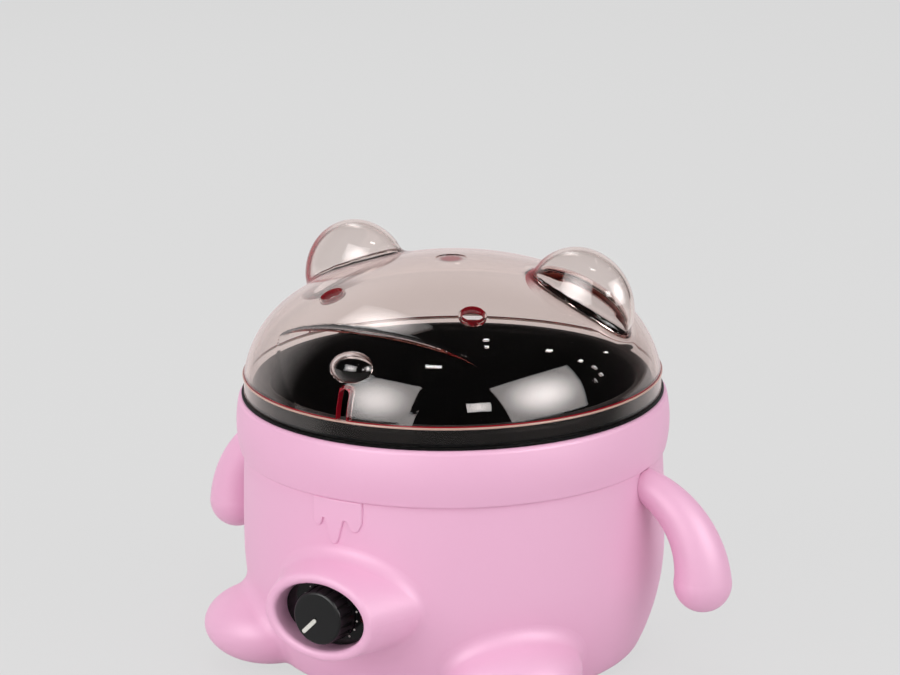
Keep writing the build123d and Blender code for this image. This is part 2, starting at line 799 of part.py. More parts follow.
def ears(inset):
    ear = Rot(90 - ear_lean, 0, -90) * spheroid(ear_r - inset, ear_half_thickness - inset)
    return [Pos(side * ear_x, ear_y, ear_z) * ear for side in (-1, 1)]


def muzzle(inset):
    oval = Pos(0, muzzle_z) * Ellipse(muzzle_half_width - inset, muzzle_half_height - inset)
    prism = extrude(Plane.XZ * oval, 2 * lid_r) & disc(2 * lid_r, 0, lid_height)
    return Pos(0, 0, muzzle_rise) * dome_form(inset, muzzle_rise) & prism


def nose(inset):
    return Pos(0, nose_y, nose_z) * Rot(0, 90, 0) * spheroid(nose_r - inset, nose_half_width - inset)


def make_lid():
    dome = dome_form(0, lid_skirt)
    outer = dome + ears(0)
    outer = fillet(new_edges(dome, *ears(0), combined=outer), ear_blend)
    outer = outer + muzzle(0) + nose(0)
    outer += ring(lid_r + lid_bead, lid_r - lid_bead_width, 0, lid_bead_height)
    inner = dome_form(lid_wall, lid_skirt + overcut) + ears(lid_wall) + muzzle(lid_wall) + nose(lid_wall)
    lid = outer - inner

    for side in (-1, 1):
        eye_height = sqrt(lid_crown ** 2 - eye_x ** 2 - eye_y ** 2)
        look = Plane(origin=(0, 0, lid_crown_z), z_dir=(side * eye_x, eye_y, eye_height))
        lid -= look * disc(eye_r, lid_r, 2 * lid_r)
    arch_z = mouth_top - mouth_width / 2
    slot = Pos(0, (mouth_foot + arch_z) / 2) * Rectangle(mouth_width, arch_z - mouth_foot)
    slot += Pos(0, arch_z) * Circle(mouth_width / 2)
    lid -= extrude(Plane.XZ * slot, 2 * lid_r)
    lid -= disc(gate_r, lid_height - gate_depth, lid_height + overcut)
    return Pos(0, 0, lid_rim_z) * lid


def both_sides(piece):
    return [mirror(piece, Plane.YZ), piece]


arm_left, arm_right = both_sides(make_arm())
nodes = {
    "tub_shell": make_tub(),
    "collar_ring": make_collar(),
    "arm_left": arm_left,
    "arm_right": arm_right,
    "arm_screws": both_sides(arm_screw_place * screw()),
    "wax_pot": make_pot(),
    "heating_well": make_well(),
    "well_gasket": make_gasket(),
    "well_screws": [place * Pos(0, 0, gasket_top_z + well_wall) * screw() for place in lug_places],
    "heater_disc": ring(heater_r, heater_bore_r, mica_top_z, heater_top_z),
    "heater_terminals": [place * disc(terminal_r, terminal_end_z, mica_top_z) for place in terminal_places],
    "mica_sheet": heater_layer(heater_r, heater_bore_r, clamp_top_z, mica_top_z),
    "clamp_plate": heater_layer(clamp_r, stud_r + seat_gap, clamp_under_z, clamp_top_z),
    "clamp_nut": make_heater_nut(),
    "thermostat": make_thermostat(),
    "thermostat_blades": make_blades(),
    "thermostat_nut": dial_frame * Pos(0, 0, recess_front) * hex_nut(
        bush_nut_across, bush_r + thread_gap, bush_nut_height),
    "thermostat_shaft": make_shaft(),
    "sensor_bulb": make_bulb(),
    "bulb_clips": make_bulb_clips(),
    "dial_plate": make_dial_plate(),
    "dial_knob": make_knob(),
    "lamp_lens": make_lens(),
    "lamp": make_lamp(),
    "mains_inlet": make_inlet(),
    "inlet_pins": make_pins(),
    "thermal_fuse": make_fuse(),
    "fuse_clip": make_fuse_clip(),
    "base_cover": make_cover(),
    "base_screws": make_base_screws(),
    "base_pad": ring(pad_r, pad_bore_r, 0, pad_height),
    "lid": make_lid(),
}
for name, points in wires.items():
    nodes[name] = tube(points, wire_bend, wire_r)

os.makedirs("parts", exist_ok=True)
for name, shape in nodes.items():
    solids = shape if isinstance(shape, list) else shape.solids()
    export_step(Compound(children=[Solid(s.solid().wrapped) for s in solids]), f"parts/{name}.step")
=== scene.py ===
from math import cos, pi, radians, sin

import bmesh
import bpy
from mathutils import Matrix, Vector
from mathutils.kdtree import KDTree


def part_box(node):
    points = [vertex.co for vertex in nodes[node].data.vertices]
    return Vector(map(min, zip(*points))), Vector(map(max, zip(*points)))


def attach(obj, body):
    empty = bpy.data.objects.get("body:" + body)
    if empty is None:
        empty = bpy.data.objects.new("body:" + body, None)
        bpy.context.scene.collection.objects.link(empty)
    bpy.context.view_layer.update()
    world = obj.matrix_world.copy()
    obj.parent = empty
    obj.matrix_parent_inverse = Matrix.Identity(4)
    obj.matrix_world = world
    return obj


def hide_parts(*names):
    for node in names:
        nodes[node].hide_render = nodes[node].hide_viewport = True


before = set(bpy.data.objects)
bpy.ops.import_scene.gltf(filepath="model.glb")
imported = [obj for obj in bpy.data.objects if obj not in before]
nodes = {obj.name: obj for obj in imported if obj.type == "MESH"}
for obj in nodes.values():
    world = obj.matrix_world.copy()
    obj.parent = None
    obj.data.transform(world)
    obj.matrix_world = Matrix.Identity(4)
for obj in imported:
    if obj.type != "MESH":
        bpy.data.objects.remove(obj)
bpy.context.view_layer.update()        # bear-shaped wax warmer: metres, table at z = 0, the bear faces -Y
print("frame loaded with", len(nodes), "nodes")


def linear(red, green, blue):
    # a colour as seen on screen, 0 to 255, as the shader wants it
    steps = [value / 255 for value in (red, green, blue)]
    curve = [s / 12.92 if s <= 0.04045 else ((s + 0.055) / 1.055) ** 2.4 for s in steps]
    return (*curve, 1.0)


def setStops(ramp, stops):
    while len(ramp.elements) < len(stops):
        ramp.elements.new(1.0)
    for element, (place, colour) in zip(ramp.elements, stops):
        element.position = place
        element.color = colour


class Pin:
    # an output socket: arithmetic on it adds Math nodes to its tree
    def __init__(self, tree, socket=None):
        self.tree = tree
        self.socket = socket

    def node(self, kind, settings=None, inputs=None, output=0):
        made = self.tree.nodes.new("ShaderNode" + kind)
        for key, value in (settings or {}).items():
            if key == "stops":
                setStops(made.color_ramp, value)
            else:
                setattr(made, key, value)
        for key, value in (inputs or {}).items():
            self.plug(made.inputs[key], value)
        return Pin(self.tree, made.outputs[output])

    def plug(self, socket, value):
        if isinstance(value, Pin):
            self.tree.links.new(value.socket, socket)
        else:
            socket.default_value = value

    def maths(self, operation, first, second):
        return self.node("Math", {"operation": operation}, {0: first, 1: second})

    def __add__(self, other):
        return self.maths("ADD", self, other)

    def __radd__(self, other):
        return self.maths("ADD", other, self)

    def __sub__(self, other):
        return self.maths("SUBTRACT", self, other)

    def __rsub__(self, other):
        return self.maths("SUBTRACT", other, self)

    def __mul__(self, other):
        return self.maths("MULTIPLY", self, other)

    def __rmul__(self, other):
        return self.maths("MULTIPLY", other, self)


def startMaterial(name):
    material = bpy.data.materials.new(name)
    material.use_nodes = True
    tree = material.node_tree
    shader = tree.nodes["Principled BSDF"]
    pin = Pin(tree)
    place = pin.node("TexCoord", output="Object")
    return material, pin, shader, place


def noise(pin, place, size, detail=2.0):
    return pin.node("TexNoise", None, {"Vector": place, "Scale": 1 / size, "Detail": detail})


def mixColour(pin, share, first, second):
    return pin.node("Mix", {"data_type": "RGBA"}, {0: share, 6: first, 7: second}, 2)


def between(pin, value, low, high):
    # 1 where the value lies between two limits
    return pin.maths("GREATER_THAN", value, low) * pin.maths("LESS_THAN", value, high)


def smoothRise(pin, value, limits):
    # goes smoothly from 0 at the first limit to 1 at the second
    return pin.node("MapRange", {"interpolation_type": "SMOOTHSTEP"}, {0: value, 1: limits[0], 2: limits[1]})


def most(pin, first, *others):
    for other in others:
        first = pin.maths("MAXIMUM", first, other)
    return first


def vectorMaths(pin, operation, *inputs):
    output = "Value" if operation in ("LENGTH", "DISTANCE", "DOT_PRODUCT") else "Vector"
    return pin.node("VectorMath", {"operation": operation}, dict(enumerate(inputs)), output)


def bump(pin, shader, height, depth):
    normal = pin.node("Bump", None, {"Height": height, "Distance": depth, "Strength": 1.0})
    pin.plug(shader.inputs["Normal"], normal)


def mouldedPlastic(name, look):
    material, pin, shader, place = startMaterial(name)
    cloud = noise(pin, place, look["cloudSize"], look["cloudDetail"])
    grain = noise(pin, place, look["grainSize"])
    pin.plug(shader.inputs["Base Color"], mixColour(pin, cloud, look["colour"], look["otherColour"]))
    pin.plug(shader.inputs["Roughness"], cloud * look["roughSpread"] + look["roughness"])
    bump(pin, shader, grain, look["grainDepth"])
    shader.inputs["Specular IOR Level"].default_value = look["gloss"]
    return material


def clearBody(name, look):
    material, pin, shader, place = startMaterial(name)
    cloud = noise(pin, place, look["cloudSize"])
    pin.plug(shader.inputs["Base Color"], mixColour(pin, cloud, look["colour"], look["otherColour"]))
    bump(pin, shader, cloud, look["waveDepth"])
    shader.inputs["Transmission Weight"].default_value = 1.0
    shader.inputs["IOR"].default_value = look["refraction"]
    body = pin.node("VolumeAbsorption", None, {"Color": look["bodyColour"], "Density": look["density"]})
    pin.plug(pin.tree.nodes["Material Output"].inputs["Volume"], body)
    return material, pin, shader, place, cloud


def clearPlastic(name, look):
    material, pin, shader, place, cloud = clearBody(name, look)
    pin.plug(shader.inputs["Roughness"], cloud * look["roughSpread"] + look["roughness"])
    return material


def roseLid(name, look):
    # clear plastic with a painted deep red glow on its cut edges, the gate and the bead line, a painted pale
    # highlight along the bead line, a painted pale sheen where the wall is seen edge-on, and a satin skirt
    material, pin, shader, place, cloud = clearBody(name, look)
    across, along, height = [pin.node("SeparateXYZ", None, {0: place}, axis) for axis in "XYZ"]
    mirrored = pin.node("CombineXYZ", None, {0: pin.maths("ABSOLUTE", across, 0), 1: along, 2: height})
    fromAxis = vectorMaths(pin, "LENGTH", pin.node("CombineXYZ", None, {0: across, 1: along}))
    outside = pin.maths("GREATER_THAN", fromAxis, look["outside"])

    fromCrown = vectorMaths(pin, "SUBTRACT", mirrored, look["crownCentre"])
    fromAim = vectorMaths(pin, "LENGTH", vectorMaths(pin, "CROSS_PRODUCT", fromCrown, look["eyeAim"]))
    # where the painted red glow goes: the walls of the eye and mouth cuts
    eyeWall = pin.maths("LESS_THAN", fromAim, look["eyeEdge"])
    mouthWall = between(pin, across, -look["mouthEdge"], look["mouthEdge"])
    mouthWall = mouthWall * between(pin, height, *look["mouthHeights"])
    mouthWall = mouthWall * pin.maths("LESS_THAN", along, look["mouthBack"])
    # painted red glow line just above the bead
    redGlowLine = between(pin, height, *look["redGlowLine"]) * outside
    # painted pale highlight line along the bead
    paintedHighlightLine = between(pin, height, *look["paintedHighlightLine"]) * outside
    # painted red glow round the gate mark
    gate = smoothRise(pin, fromAxis, look["gateEdge"])
    # share of the painted glow and highlight
    paintedLightShare = most(pin, eyeWall, mouthWall, redGlowLine, gate, paintedHighlightLine) * look["paintedLightStrength"]

    facing = pin.node("LayerWeight", None, {"Blend": 0.5}, "Facing")
    fromEar = vectorMaths(pin, "DISTANCE", mirrored, look["earCentre"])
    sideways = across - pin.maths("SIGN", across, 0) * look["earCentre"][0]
    # painted red glow on the left edge of each ear
    earGlow = pin.maths("LESS_THAN", fromEar, look["earReach"]) * look["earGlowStrength"]
    earGlow = earGlow * smoothRise(pin, sideways, look["earSide"]) * smoothRise(pin, facing, look["earSlant"])

    skirt = pin.maths("LESS_THAN", height, look["paintedHighlightLine"][0])
    pin.plug(shader.inputs["Roughness"], cloud * look["roughSpread"] + skirt * look["skirtRoughness"])
    # red for the painted glow, pale where the painted highlight line runs
    paintedGlowColour = mixColour(pin, paintedHighlightLine, look["paintedGlowColour"], look["paintedHighlightColour"])
    # the painted glow and highlight, mixed in over the clear plastic
    glow = pin.node("BsdfPrincipled", None, {"Base Color": paintedGlowColour, "Roughness": look["edgeRoughness"]})
    # painted pale sheen where the wall is seen edge-on
    paintedSheen = pin.node("BsdfDiffuse", None, {"Color": look["sheenColour"]})
    grazing = pin.maths("POWER", facing, look["sheenPower"]) * look["paintedSheen"]
    withSheen = pin.node("MixShader", None, {0: grazing, 1: Pin(pin.tree, shader.outputs[0]), 2: paintedSheen})
    both = pin.node("MixShader", None, {0: most(pin, paintedLightShare, earGlow), 1: withSheen, 2: glow})
    pin.plug(pin.tree.nodes["Material Output"].inputs["Surface"], both)
    return material


def nonStick(name, look):
    material, pin, shader, place = startMaterial(name)
    speckle = noise(pin, place, look["speckleSize"])
    cloud = noise(pin, place, look["cloudSize"])
    spots = pin.node("ValToRGB", {"stops": look["spotStops"]}, {"Fac": speckle})
    pin.plug(shader.inputs["Base Color"], spots)
    pin.plug(shader.inputs["Roughness"], cloud * look["roughSpread"] + look["roughness"])
    bump(pin, shader, speckle, look["grainDepth"])
    shader.inputs["Specular IOR Level"].default_value = look["gloss"]
    return material


def spunMetal(name, look):
    material, pin, shader, place = startMaterial(name)
    rings = pin.node("TexWave", {"wave_type": "RINGS", "rings_direction": look["about"]},
                     {"Vector": place, "Scale": 1 / look["ringWidth"], "Distortion": look["ringWander"]})
    cloud = noise(pin, place, look["cloudSize"])
    pin.plug(shader.inputs["Base Color"], mixColour(pin, cloud, look["colour"], look["otherColour"]))
    pin.plug(shader.inputs["Roughness"], rings * look["roughSpread"] + look["roughness"])
    bump(pin, shader, rings, look["grainDepth"])
    shader.inputs["Metallic"].default_value = 1.0
    return material


def softRubber(name, look):
    material, pin, shader, place = startMaterial(name)
    dust = noise(pin, place, look["cloudSize"], look["cloudDetail"])
    grain = noise(pin, place, look["grainSize"])
    pin.plug(shader.inputs["Base Color"], mixColour(pin, dust, look["colour"], look["otherColour"]))
    pin.plug(shader.inputs["Roughness"], dust * look["roughSpread"] + look["roughness"])
    bump(pin, shader, grain, look["grainDepth"])
    return material


def flakySheet(name, look):
    material, pin, shader, place = startMaterial(name)
    flakes = pin.node("TexVoronoi", {"feature": "F1"}, {"Vector": place, "Scale": 1 / look["flakeSize"]})
    pin.plug(shader.inputs["Base Color"], mixColour(pin, flakes, look["colour"], look["otherColour"]))
    pin.plug(shader.inputs["Roughness"], flakes * look["roughSpread"] + look["roughness"])
    bump(pin, shader, flakes, look["grainDepth"])
    return material


plastic = {"cloudSize": 0.05, "cloudDetail": 3.0, "grainSize": 0.0006, "roughSpread": 0.06, "roughness": 0.43,
           "grainDepth": 0.00002, "gloss": 0.45}
pinkLook = {**plastic, "colour": linear(236, 180, 210), "otherColour": linear(233, 176, 207)}
blackLook = {**plastic, "colour": linear(24, 24, 25), "otherColour": linear(30, 30, 31), "roughness": 0.48}
knobLook = {**plastic, "colour": linear(20, 20, 21), "otherColour": linear(26, 25, 26), "roughness": 0.34}
panelLook = {**plastic, "colour": linear(12, 12, 13), "otherColour": linear(16, 16, 17), "roughness": 0.10,
             "grainDepth": 0.000002}
metal = {"ringWidth": 0.0009, "ringWander": 1.5, "cloudSize": 0.02, "roughSpread": 0.14, "roughness": 0.22,
         "grainDepth": 0.000006, "about": "Z"}
aluminiumLook = {**metal, "colour": linear(214, 214, 216), "otherColour": linear(203, 203, 205)}
fineMetal = {**metal, "ringWidth": 0.0004}
steelLook = {**fineMetal, "colour": linear(196, 197, 200), "otherColour": linear(180, 180, 182)}
brassLook = {**fineMetal, "colour": linear(214, 178, 104), "otherColour": linear(196, 158, 88)}
copperLook = {**fineMetal, "colour": linear(200, 130, 96), "otherColour": linear(170, 100, 72)}
rubber = {"cloudSize": 0.012, "cloudDetail": 5.0, "grainSize": 0.0004, "roughSpread": 0.12, "roughness": 0.62,
          "grainDepth": 0.00003}
padLook = {**rubber, "colour": linear(20, 20, 20), "otherColour": linear(30, 30, 30)}
gasketLook = {**rubber, "colour": linear(176, 76, 52), "otherColour": linear(160, 66, 44)}
wireLook = {**rubber, "roughness": 0.45, "grainDepth": 0.00001}
brownWire = {**wireLook, "colour": linear(104, 60, 38), "otherColour": linear(92, 52, 32)}
blueWire = {**wireLook, "colour": linear(52, 98, 172), "otherColour": linear(44, 86, 156)}
whiteWire = {**wireLook, "colour": linear(226, 224, 216), "otherColour": linear(214, 212, 204)}
micaLook = {"flakeSize": 0.004, "colour": linear(206, 190, 158), "otherColour": linear(182, 160, 122),
            "roughSpread": 0.2, "roughness": 0.35, "grainDepth": 0.00003}
potLook = {"speckleSize": 0.0005, "cloudSize": 0.03, "roughSpread": 0.08, "roughness": 0.46,
           "grainDepth": 0.000012, "gloss": 0.1,
           "spotStops": [(0.0, linear(4, 4, 4)), (0.62, linear(7, 7, 7)), (0.75, linear(16, 16, 17))]}
clearLook = {"colour": (1.0, 0.985, 0.98, 1.0), "otherColour": (1.0, 0.98, 0.97, 1.0), "cloudSize": 0.03,
             "roughSpread": 0.02, "roughness": 0.0, "waveDepth": 0.00001, "refraction": 1.49}
lensLook = {**clearLook, "bodyColour": (1.0, 0.30, 0.04, 1.0), "density": 900.0}
lampLook = {**clearLook, "bodyColour": (1.0, 0.9, 0.7, 1.0), "density": 40.0}


lidShape = {                    # metres, heights from the bead line
    "skirt": 0.0058,
    "spare": 0.001,             # how far the hollows reach out below the skirt
    "wall": 0.0018,
    "earWall": 0.0012,
    "lipWidth": 0.0008,         # thicker wall round the eyes and the mouth
    "lipDepth": 0.0029,
    "lipInset": 0.0004,
    "edge": 0.07445,            # radius at the bead line
    "height": 0.041,
    "profile": ((0.0, 0.041), (0.00451, 0.041), (0.02228, 0.04078),
                (0.06823, 0.0247), (0.07364, 0.00466), (0.07445, 0.0)),
    "profileSteps": 26,
    "around": 240,
    "crown": 0.117,             # radius of the flat top, from whose centre the eyes look out
    "beadRadius": 0.00042,
    "beadSides": 14,
    "earPlace": (0.0456, 0.0100, 0.0262),
    "earRadius": 0.02115,
    "earHalfThickness": 0.012,
    "earLean": 4.0,
    "earFineness": 6,
    "creaseAngle": 12.0,        # hollow corners sharper than this, in degrees, are softened
    "earBlend": 0.0045,         # how far from its crease an ear's root is softened
    "blendPasses": 30,
    "muzzleBlend": 0.0008,
    "muzzlePasses": 4,
    "muzzleRise": 0.0014,
    "muzzleNarrowing": 0.9535,  # lets the muzzle's edge run out at both ends
    "muzzleHalfWidth": 0.0466,
    "muzzleHalfHeight": 0.0160,
    "muzzleMiddle": 0.0114,
    "muzzleFoot": 0.00005,      # the muzzle stops just above the bead line
    "muzzleSides": 160,
    "nosePlace": (0.0, -0.0658, 0.0165),
    "noseHalfWidth": 0.0086,
    "noseRadius": 0.0060,
    "noseFineness": 5,
    "eyeRadius": 0.0040,
    "eyeDepth": 0.02,
    "eyeAim": Vector((0.0285, -0.0343, 0.1082)).normalized(),
    "mouthRadius": 0.0020,
    "mouthFoot": 0.0006,
    "mouthTop": 0.0110,
    "mouthSides": 48,
    "gateRadius": 0.0055,
    "gateDepth": 0.0004,
    "gateHeight": 0.01,
    "roundSides": 72,           # of the eyes and the gate
    "foldGap": 0.00012,         # corners closer than this are merged before softening
    "seamGap": 0.00001,         # and after the last cut
    "sharpAngle": 32.0,
}
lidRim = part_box("lid")[0][2] + lidShape["skirt"]       # height of the bead line
earAcross, earAlong, earHeight = lidShape["earPlace"]
lidLook = {
    **clearLook,
    "bodyColour": (0.87, 0.46, 0.34, 1.0),
    "density": 95.0,
    "skirtRoughness": 0.10,
    "paintedSheen": 0.6,                # painted pale sheen where the wall is seen edge-on
    "sheenPower": 6.0,
    "sheenColour": linear(240, 214, 214),
    # colour of the painted deep red glow
    "paintedGlowColour": linear(146, 14, 32),
    # colour of the painted pale highlight
    "paintedHighlightColour": linear(196, 160, 146),
    "edgeRoughness": 0.12,
    "paintedLightStrength": 0.9,
    "outside": 0.0735,          # the painted glow and highlight lines are on the outer face, beyond this radius
    # painted red glow line, just above the painted pale highlight line
    "redGlowLine": (lidRim + 0.0008, lidRim + 0.0012),
    # painted pale highlight line along the bead, which also marks the top of the skirt
    "paintedHighlightLine": (lidRim + 0.0001, lidRim + 0.0008),
    # painted red glow round the gate mark, fading out between these radii
    "gateEdge": (0.0050, 0.0024),
    "crownCentre": (0.0, 0.0, lidRim + lidShape["height"] - lidShape["crown"]),
    "eyeAim": lidShape["eyeAim"],
    "eyeEdge": lidShape["eyeRadius"] + 0.00015,     # the painted red glow reaches just past each cut
    "mouthEdge": lidShape["mouthRadius"] + 0.00012,
    "mouthHeights": (lidRim + lidShape["mouthFoot"] - 0.0002, lidRim + lidShape["mouthTop"] + 0.0002),
    "mouthBack": -0.05,
    "earCentre": (earAcross, earAlong, lidRim + earHeight),
    # painted red glow on the ears: how far, how strong, which side and at what slant
    "earReach": 0.0215,
    "earGlowStrength": 0.95,
    "earSide": (-0.006, -0.016),    # the painted red glow lies on the left of each ear, from its middle
    "earSlant": (0.44, 0.66),
}


def formObject(name, build):
    mesh = bpy.data.meshes.new(name)
    bmesh.ops.recalc_face_normals(build, faces=build.faces)
    build.to_mesh(mesh)
    build.free()
    made = bpy.data.objects.new(name, mesh)
    bpy.context.collection.objects.link(made)
    return made


def combine(form, operation, tools):
    # boolean of a closed form with others, which are used up
    for tool in tools:
        cut = form.modifiers.new(tool.name, "BOOLEAN")
        cut.operation = operation
        cut.solver = "MANIFOLD"
        cut.object = tool
    graph = bpy.context.evaluated_depsgraph_get()
    form.data = bpy.data.meshes.new_from_object(form.evaluated_get(graph))
    form.modifiers.clear()
    for tool in tools:
        bpy.data.objects.remove(tool)
    return form


def profileLine(build, points, steps):
    # half of a turned form's outline, as one smooth curve
    curve = bpy.data.curves.new("profile", "CURVE")
    curve.dimensions = "3D"
    spline = curve.splines.new("NURBS")
    spline.points.add(len(points) - 1)
    for point, (radius, height) in zip(spline.points, points):
        point.co = (radius, 0, height, 1)
    spline.order_u = 4
    spline.use_endpoint_u = True
    spline.resolution_u = steps
    holder = bpy.data.objects.new("profile", curve)
    line = bpy.data.meshes.new_from_object(holder)
    build.from_mesh(line)
    bpy.data.objects.remove(holder)
    bpy.data.curves.remove(curve)
    bpy.data.meshes.remove(line)


def drawTo(build, start, place):
    end = bmesh.ops.extrude_vert_indiv(build, verts=[start])["verts"][0]
    bmesh.ops.translate(build, verts=[end], vec=Vector(place) - end.co)
    return end


def turnForm(build):
    outline = build.verts[:] + build.edges[:]
    bmesh.ops.spin(build, geom=outline, cent=(0, 0, 0), axis=(0, 0, 1), angle=2 * pi, steps=lidShape["around"],
                   use_merge=True)
    bmesh.ops.remove_doubles(build, verts=build.verts, dist=1e-7)


def domeForm(name, inset, drop, narrowing=1.0, rise=0.0):
    shape = lidShape
    build = bmesh.new()
    profileLine(build, shape["profile"], shape["profileSteps"])
    smaller = (1 - inset / shape["edge"], 1, 1 - inset / shape["height"])
    bmesh.ops.scale(build, verts=build.verts, vec=smaller)
    end = max(build.verts, key=lambda vert: vert.co.x)
    end = drawTo(build, end, (end.co.x, 0, -drop))
    drawTo(build, end, (0, 0, -drop))
    turnForm(build)
    bmesh.ops.scale(build, verts=build.verts, vec=(narrowing, 1, 1))
    bmesh.ops.translate(build, verts=build.verts, vec=(0, 0, rise))
    return formObject(name, build)


def ballForm(name, place, halves, lean, fineness):
    build = bmesh.new()
    matrix = Matrix.Translation(place) @ Matrix.Rotation(lean, 4, "X") @ Matrix.Diagonal((*halves, 1.0))
    bmesh.ops.create_icosphere(build, subdivisions=fineness, radius=1.0, matrix=matrix)
    return formObject(name, build)


def earForms(inset):
    shape = lidShape
    radius = shape["earRadius"] - inset
    halves = (radius, radius, shape["earHalfThickness"] - inset)
    lean = radians(90 - shape["earLean"])
    places = [(side * earAcross, earAlong, earHeight) for side in (-1, 1)]
    return [ballForm("ear", place, halves, lean, shape["earFineness"]) for place in places]


def prismForm(name, outline, low, high):
    # a closed outline on the XZ plane, drawn out along Y
    made = bmesh.ops.extrude_face_region(outline, geom=outline.faces[:])
    far = [part for part in made["geom"] if isinstance(part, bmesh.types.BMVert)]
    bmesh.ops.translate(outline, verts=outline.verts, vec=(0, low, 0))
    bmesh.ops.translate(outline, verts=far, vec=(0, high - low, 0))
    return formObject(name, outline)


def muzzleForm(inset):
    shape = lidShape
    rise = shape["muzzleRise"]
    raised = domeForm("muzzle", inset, rise, shape["muzzleNarrowing"], rise)
    oval = bmesh.new()
    bmesh.ops.create_circle(oval, cap_ends=True, segments=shape["muzzleSides"], radius=1.0,
                            matrix=Matrix.Rotation(pi / 2, 4, "X"))
    halves = (shape["muzzleHalfWidth"] - inset, 1, shape["muzzleHalfHeight"] - inset)
    bmesh.ops.scale(oval, verts=oval.verts, vec=halves)
    bmesh.ops.translate(oval, verts=oval.verts, vec=(0, 0, shape["muzzleMiddle"]))
    bmesh.ops.bisect_plane(oval, geom=oval.verts[:] + oval.edges[:] + oval.faces[:],
                           plane_co=(0, 0, shape["muzzleFoot"]), plane_no=(0, 0, -1), clear_outer=True)
    return combine(raised, "INTERSECT", [prismForm("muzzleOval", oval, -2 * shape["edge"], 0.0)])


def noseForm(inset):
    shape = lidShape
    radius = shape["noseRadius"] - inset
    halves = (shape["noseHalfWidth"] - inset, radius, radius)
    return ballForm("nose", shape["nosePlace"], halves, 0.0, shape["noseFineness"])


def beadForm():
    radius = lidShape["beadRadius"]
    build = bmesh.new()
    matrix = Matrix.Translation((lidShape["edge"], 0, radius)) @ Matrix.Rotation(pi / 2, 4, "X")
    bmesh.ops.create_circle(build, segments=lidShape["beadSides"], radius=radius, matrix=matrix)
    turnForm(build)
    return formObject("bead", build)


def eyeForms(grow=0.0):
    shape = lidShape
    crownZ = shape["height"] - shape["crown"]
    forms = []
    for side in (-1, 1):
        aim = Vector((side * shape["eyeAim"].x, shape["eyeAim"].y, shape["eyeAim"].z))
        middle = Matrix.Translation(Vector((0, 0, crownZ)) + aim * shape["crown"])
        matrix = middle @ aim.to_track_quat("Z", "Y").to_matrix().to_4x4()
        build = bmesh.new()
        radius = shape["eyeRadius"] + grow
        bmesh.ops.create_cone(build, cap_ends=True, segments=shape["roundSides"], radius1=radius,
                              radius2=radius, depth=shape["eyeDepth"], matrix=matrix)
        forms.append(formObject("eye", build))
    return forms


def mouthForm(grow=0.0):
    shape = lidShape
    radius = shape["mouthRadius"] + grow
    build = bmesh.new()
    middle = shape["mouthTop"] - shape["mouthRadius"]
    matrix = Matrix.Translation((0, 0, middle)) @ Matrix.Rotation(pi / 2, 4, "X")
    bmesh.ops.create_circle(build, cap_ends=True, segments=shape["mouthSides"], radius=radius, matrix=matrix)
    for vert in build.verts:
        if vert.co.z < middle - 1e-6:
            vert.co.z = shape["mouthFoot"]
    return prismForm("mouth", build, -2 * shape["edge"], -shape["edge"] / 2)


def lipForm():
    # short collars inside the wall, so that the eyes and the mouth look as thick as they are
    shape = lidShape
    lips = domeForm("lips", shape["lipInset"], shape["skirt"])
    combine(lips, "UNION", [muzzleForm(shape["lipInset"])])
    deep = domeForm("lipHollow", shape["lipDepth"], shape["skirt"] + shape["spare"])
    combine(lips, "DIFFERENCE", [combine(deep, "UNION", [muzzleForm(shape["lipDepth"])])])
    left, right = eyeForms(shape["lipWidth"])
    return combine(lips, "INTERSECT", [combine(left, "UNION", [right, mouthForm(shape["lipWidth"])])])


def gateForm():
    shape = lidShape
    middle = shape["height"] - shape["gateDepth"] + shape["gateHeight"] / 2
    build = bmesh.new()
    bmesh.ops.create_cone(build, cap_ends=True, segments=shape["roundSides"], radius1=shape["gateRadius"],
                          radius2=shape["gateRadius"], depth=shape["gateHeight"],
                          matrix=Matrix.Translation((0, 0, middle)))
    return formObject("gate", build)


def softenCreases(form, reach, passes):
    # rounds the hollow corners between forms that were joined
    build = bmesh.new()
    build.from_mesh(form.data)
    bmesh.ops.remove_doubles(build, verts=build.verts, dist=lidShape["foldGap"])
    hollow = -radians(lidShape["creaseAngle"])
    creases = [edge for edge in build.edges if edge.is_manifold and edge.calc_face_angle_signed() < hollow]
    corners = {vert for edge in creases for vert in edge.verts}
    tree = KDTree(len(corners))
    for index, vert in enumerate(corners):
        tree.insert(vert.co, index)
    tree.balance()
    near = [vert for vert in build.verts if tree.find(vert.co)[2] < reach]
    for repeat in range(passes):
        bmesh.ops.smooth_vert(build, verts=near, factor=0.5, use_axis_x=True, use_axis_y=True, use_axis_z=True)
    build.to_mesh(form.data)
    build.free()
    print("softened", len(creases), "crease edges,", len(near), "points")


def makeLid(height):
    shape = lidShape
    outer = combine(domeForm("lidShell", 0.0, shape["skirt"]), "UNION", earForms(0.0))
    softenCreases(outer, shape["earBlend"], shape["blendPasses"])
    combine(outer, "UNION", [muzzleForm(0.0), noseForm(0.0)])
    softenCreases(outer, shape["muzzleBlend"], shape["muzzlePasses"])
    combine(outer, "UNION", [beadForm()])
    inner = domeForm("lidHollow", shape["wall"], shape["skirt"] + shape["spare"])
    thinForms = [*earForms(shape["earWall"]), muzzleForm(shape["wall"]), noseForm(shape["earWall"])]
    combine(inner, "UNION", thinForms)
    combine(outer, "DIFFERENCE", [inner])
    combine(outer, "UNION", [lipForm()])
    combine(outer, "DIFFERENCE", [*eyeForms(), mouthForm(), gateForm()])
    build = bmesh.new()
    build.from_mesh(outer.data)
    bmesh.ops.remove_doubles(build, verts=build.verts, dist=shape["seamGap"])
    bmesh.ops.translate(build, verts=build.verts, vec=(0, 0, height))
    build.to_mesh(outer.data)
    build.free()
    outer.data.shade_smooth()
    outer.data.set_sharp_from_angle(angle=radians(shape["sharpAngle"]))
    return outer


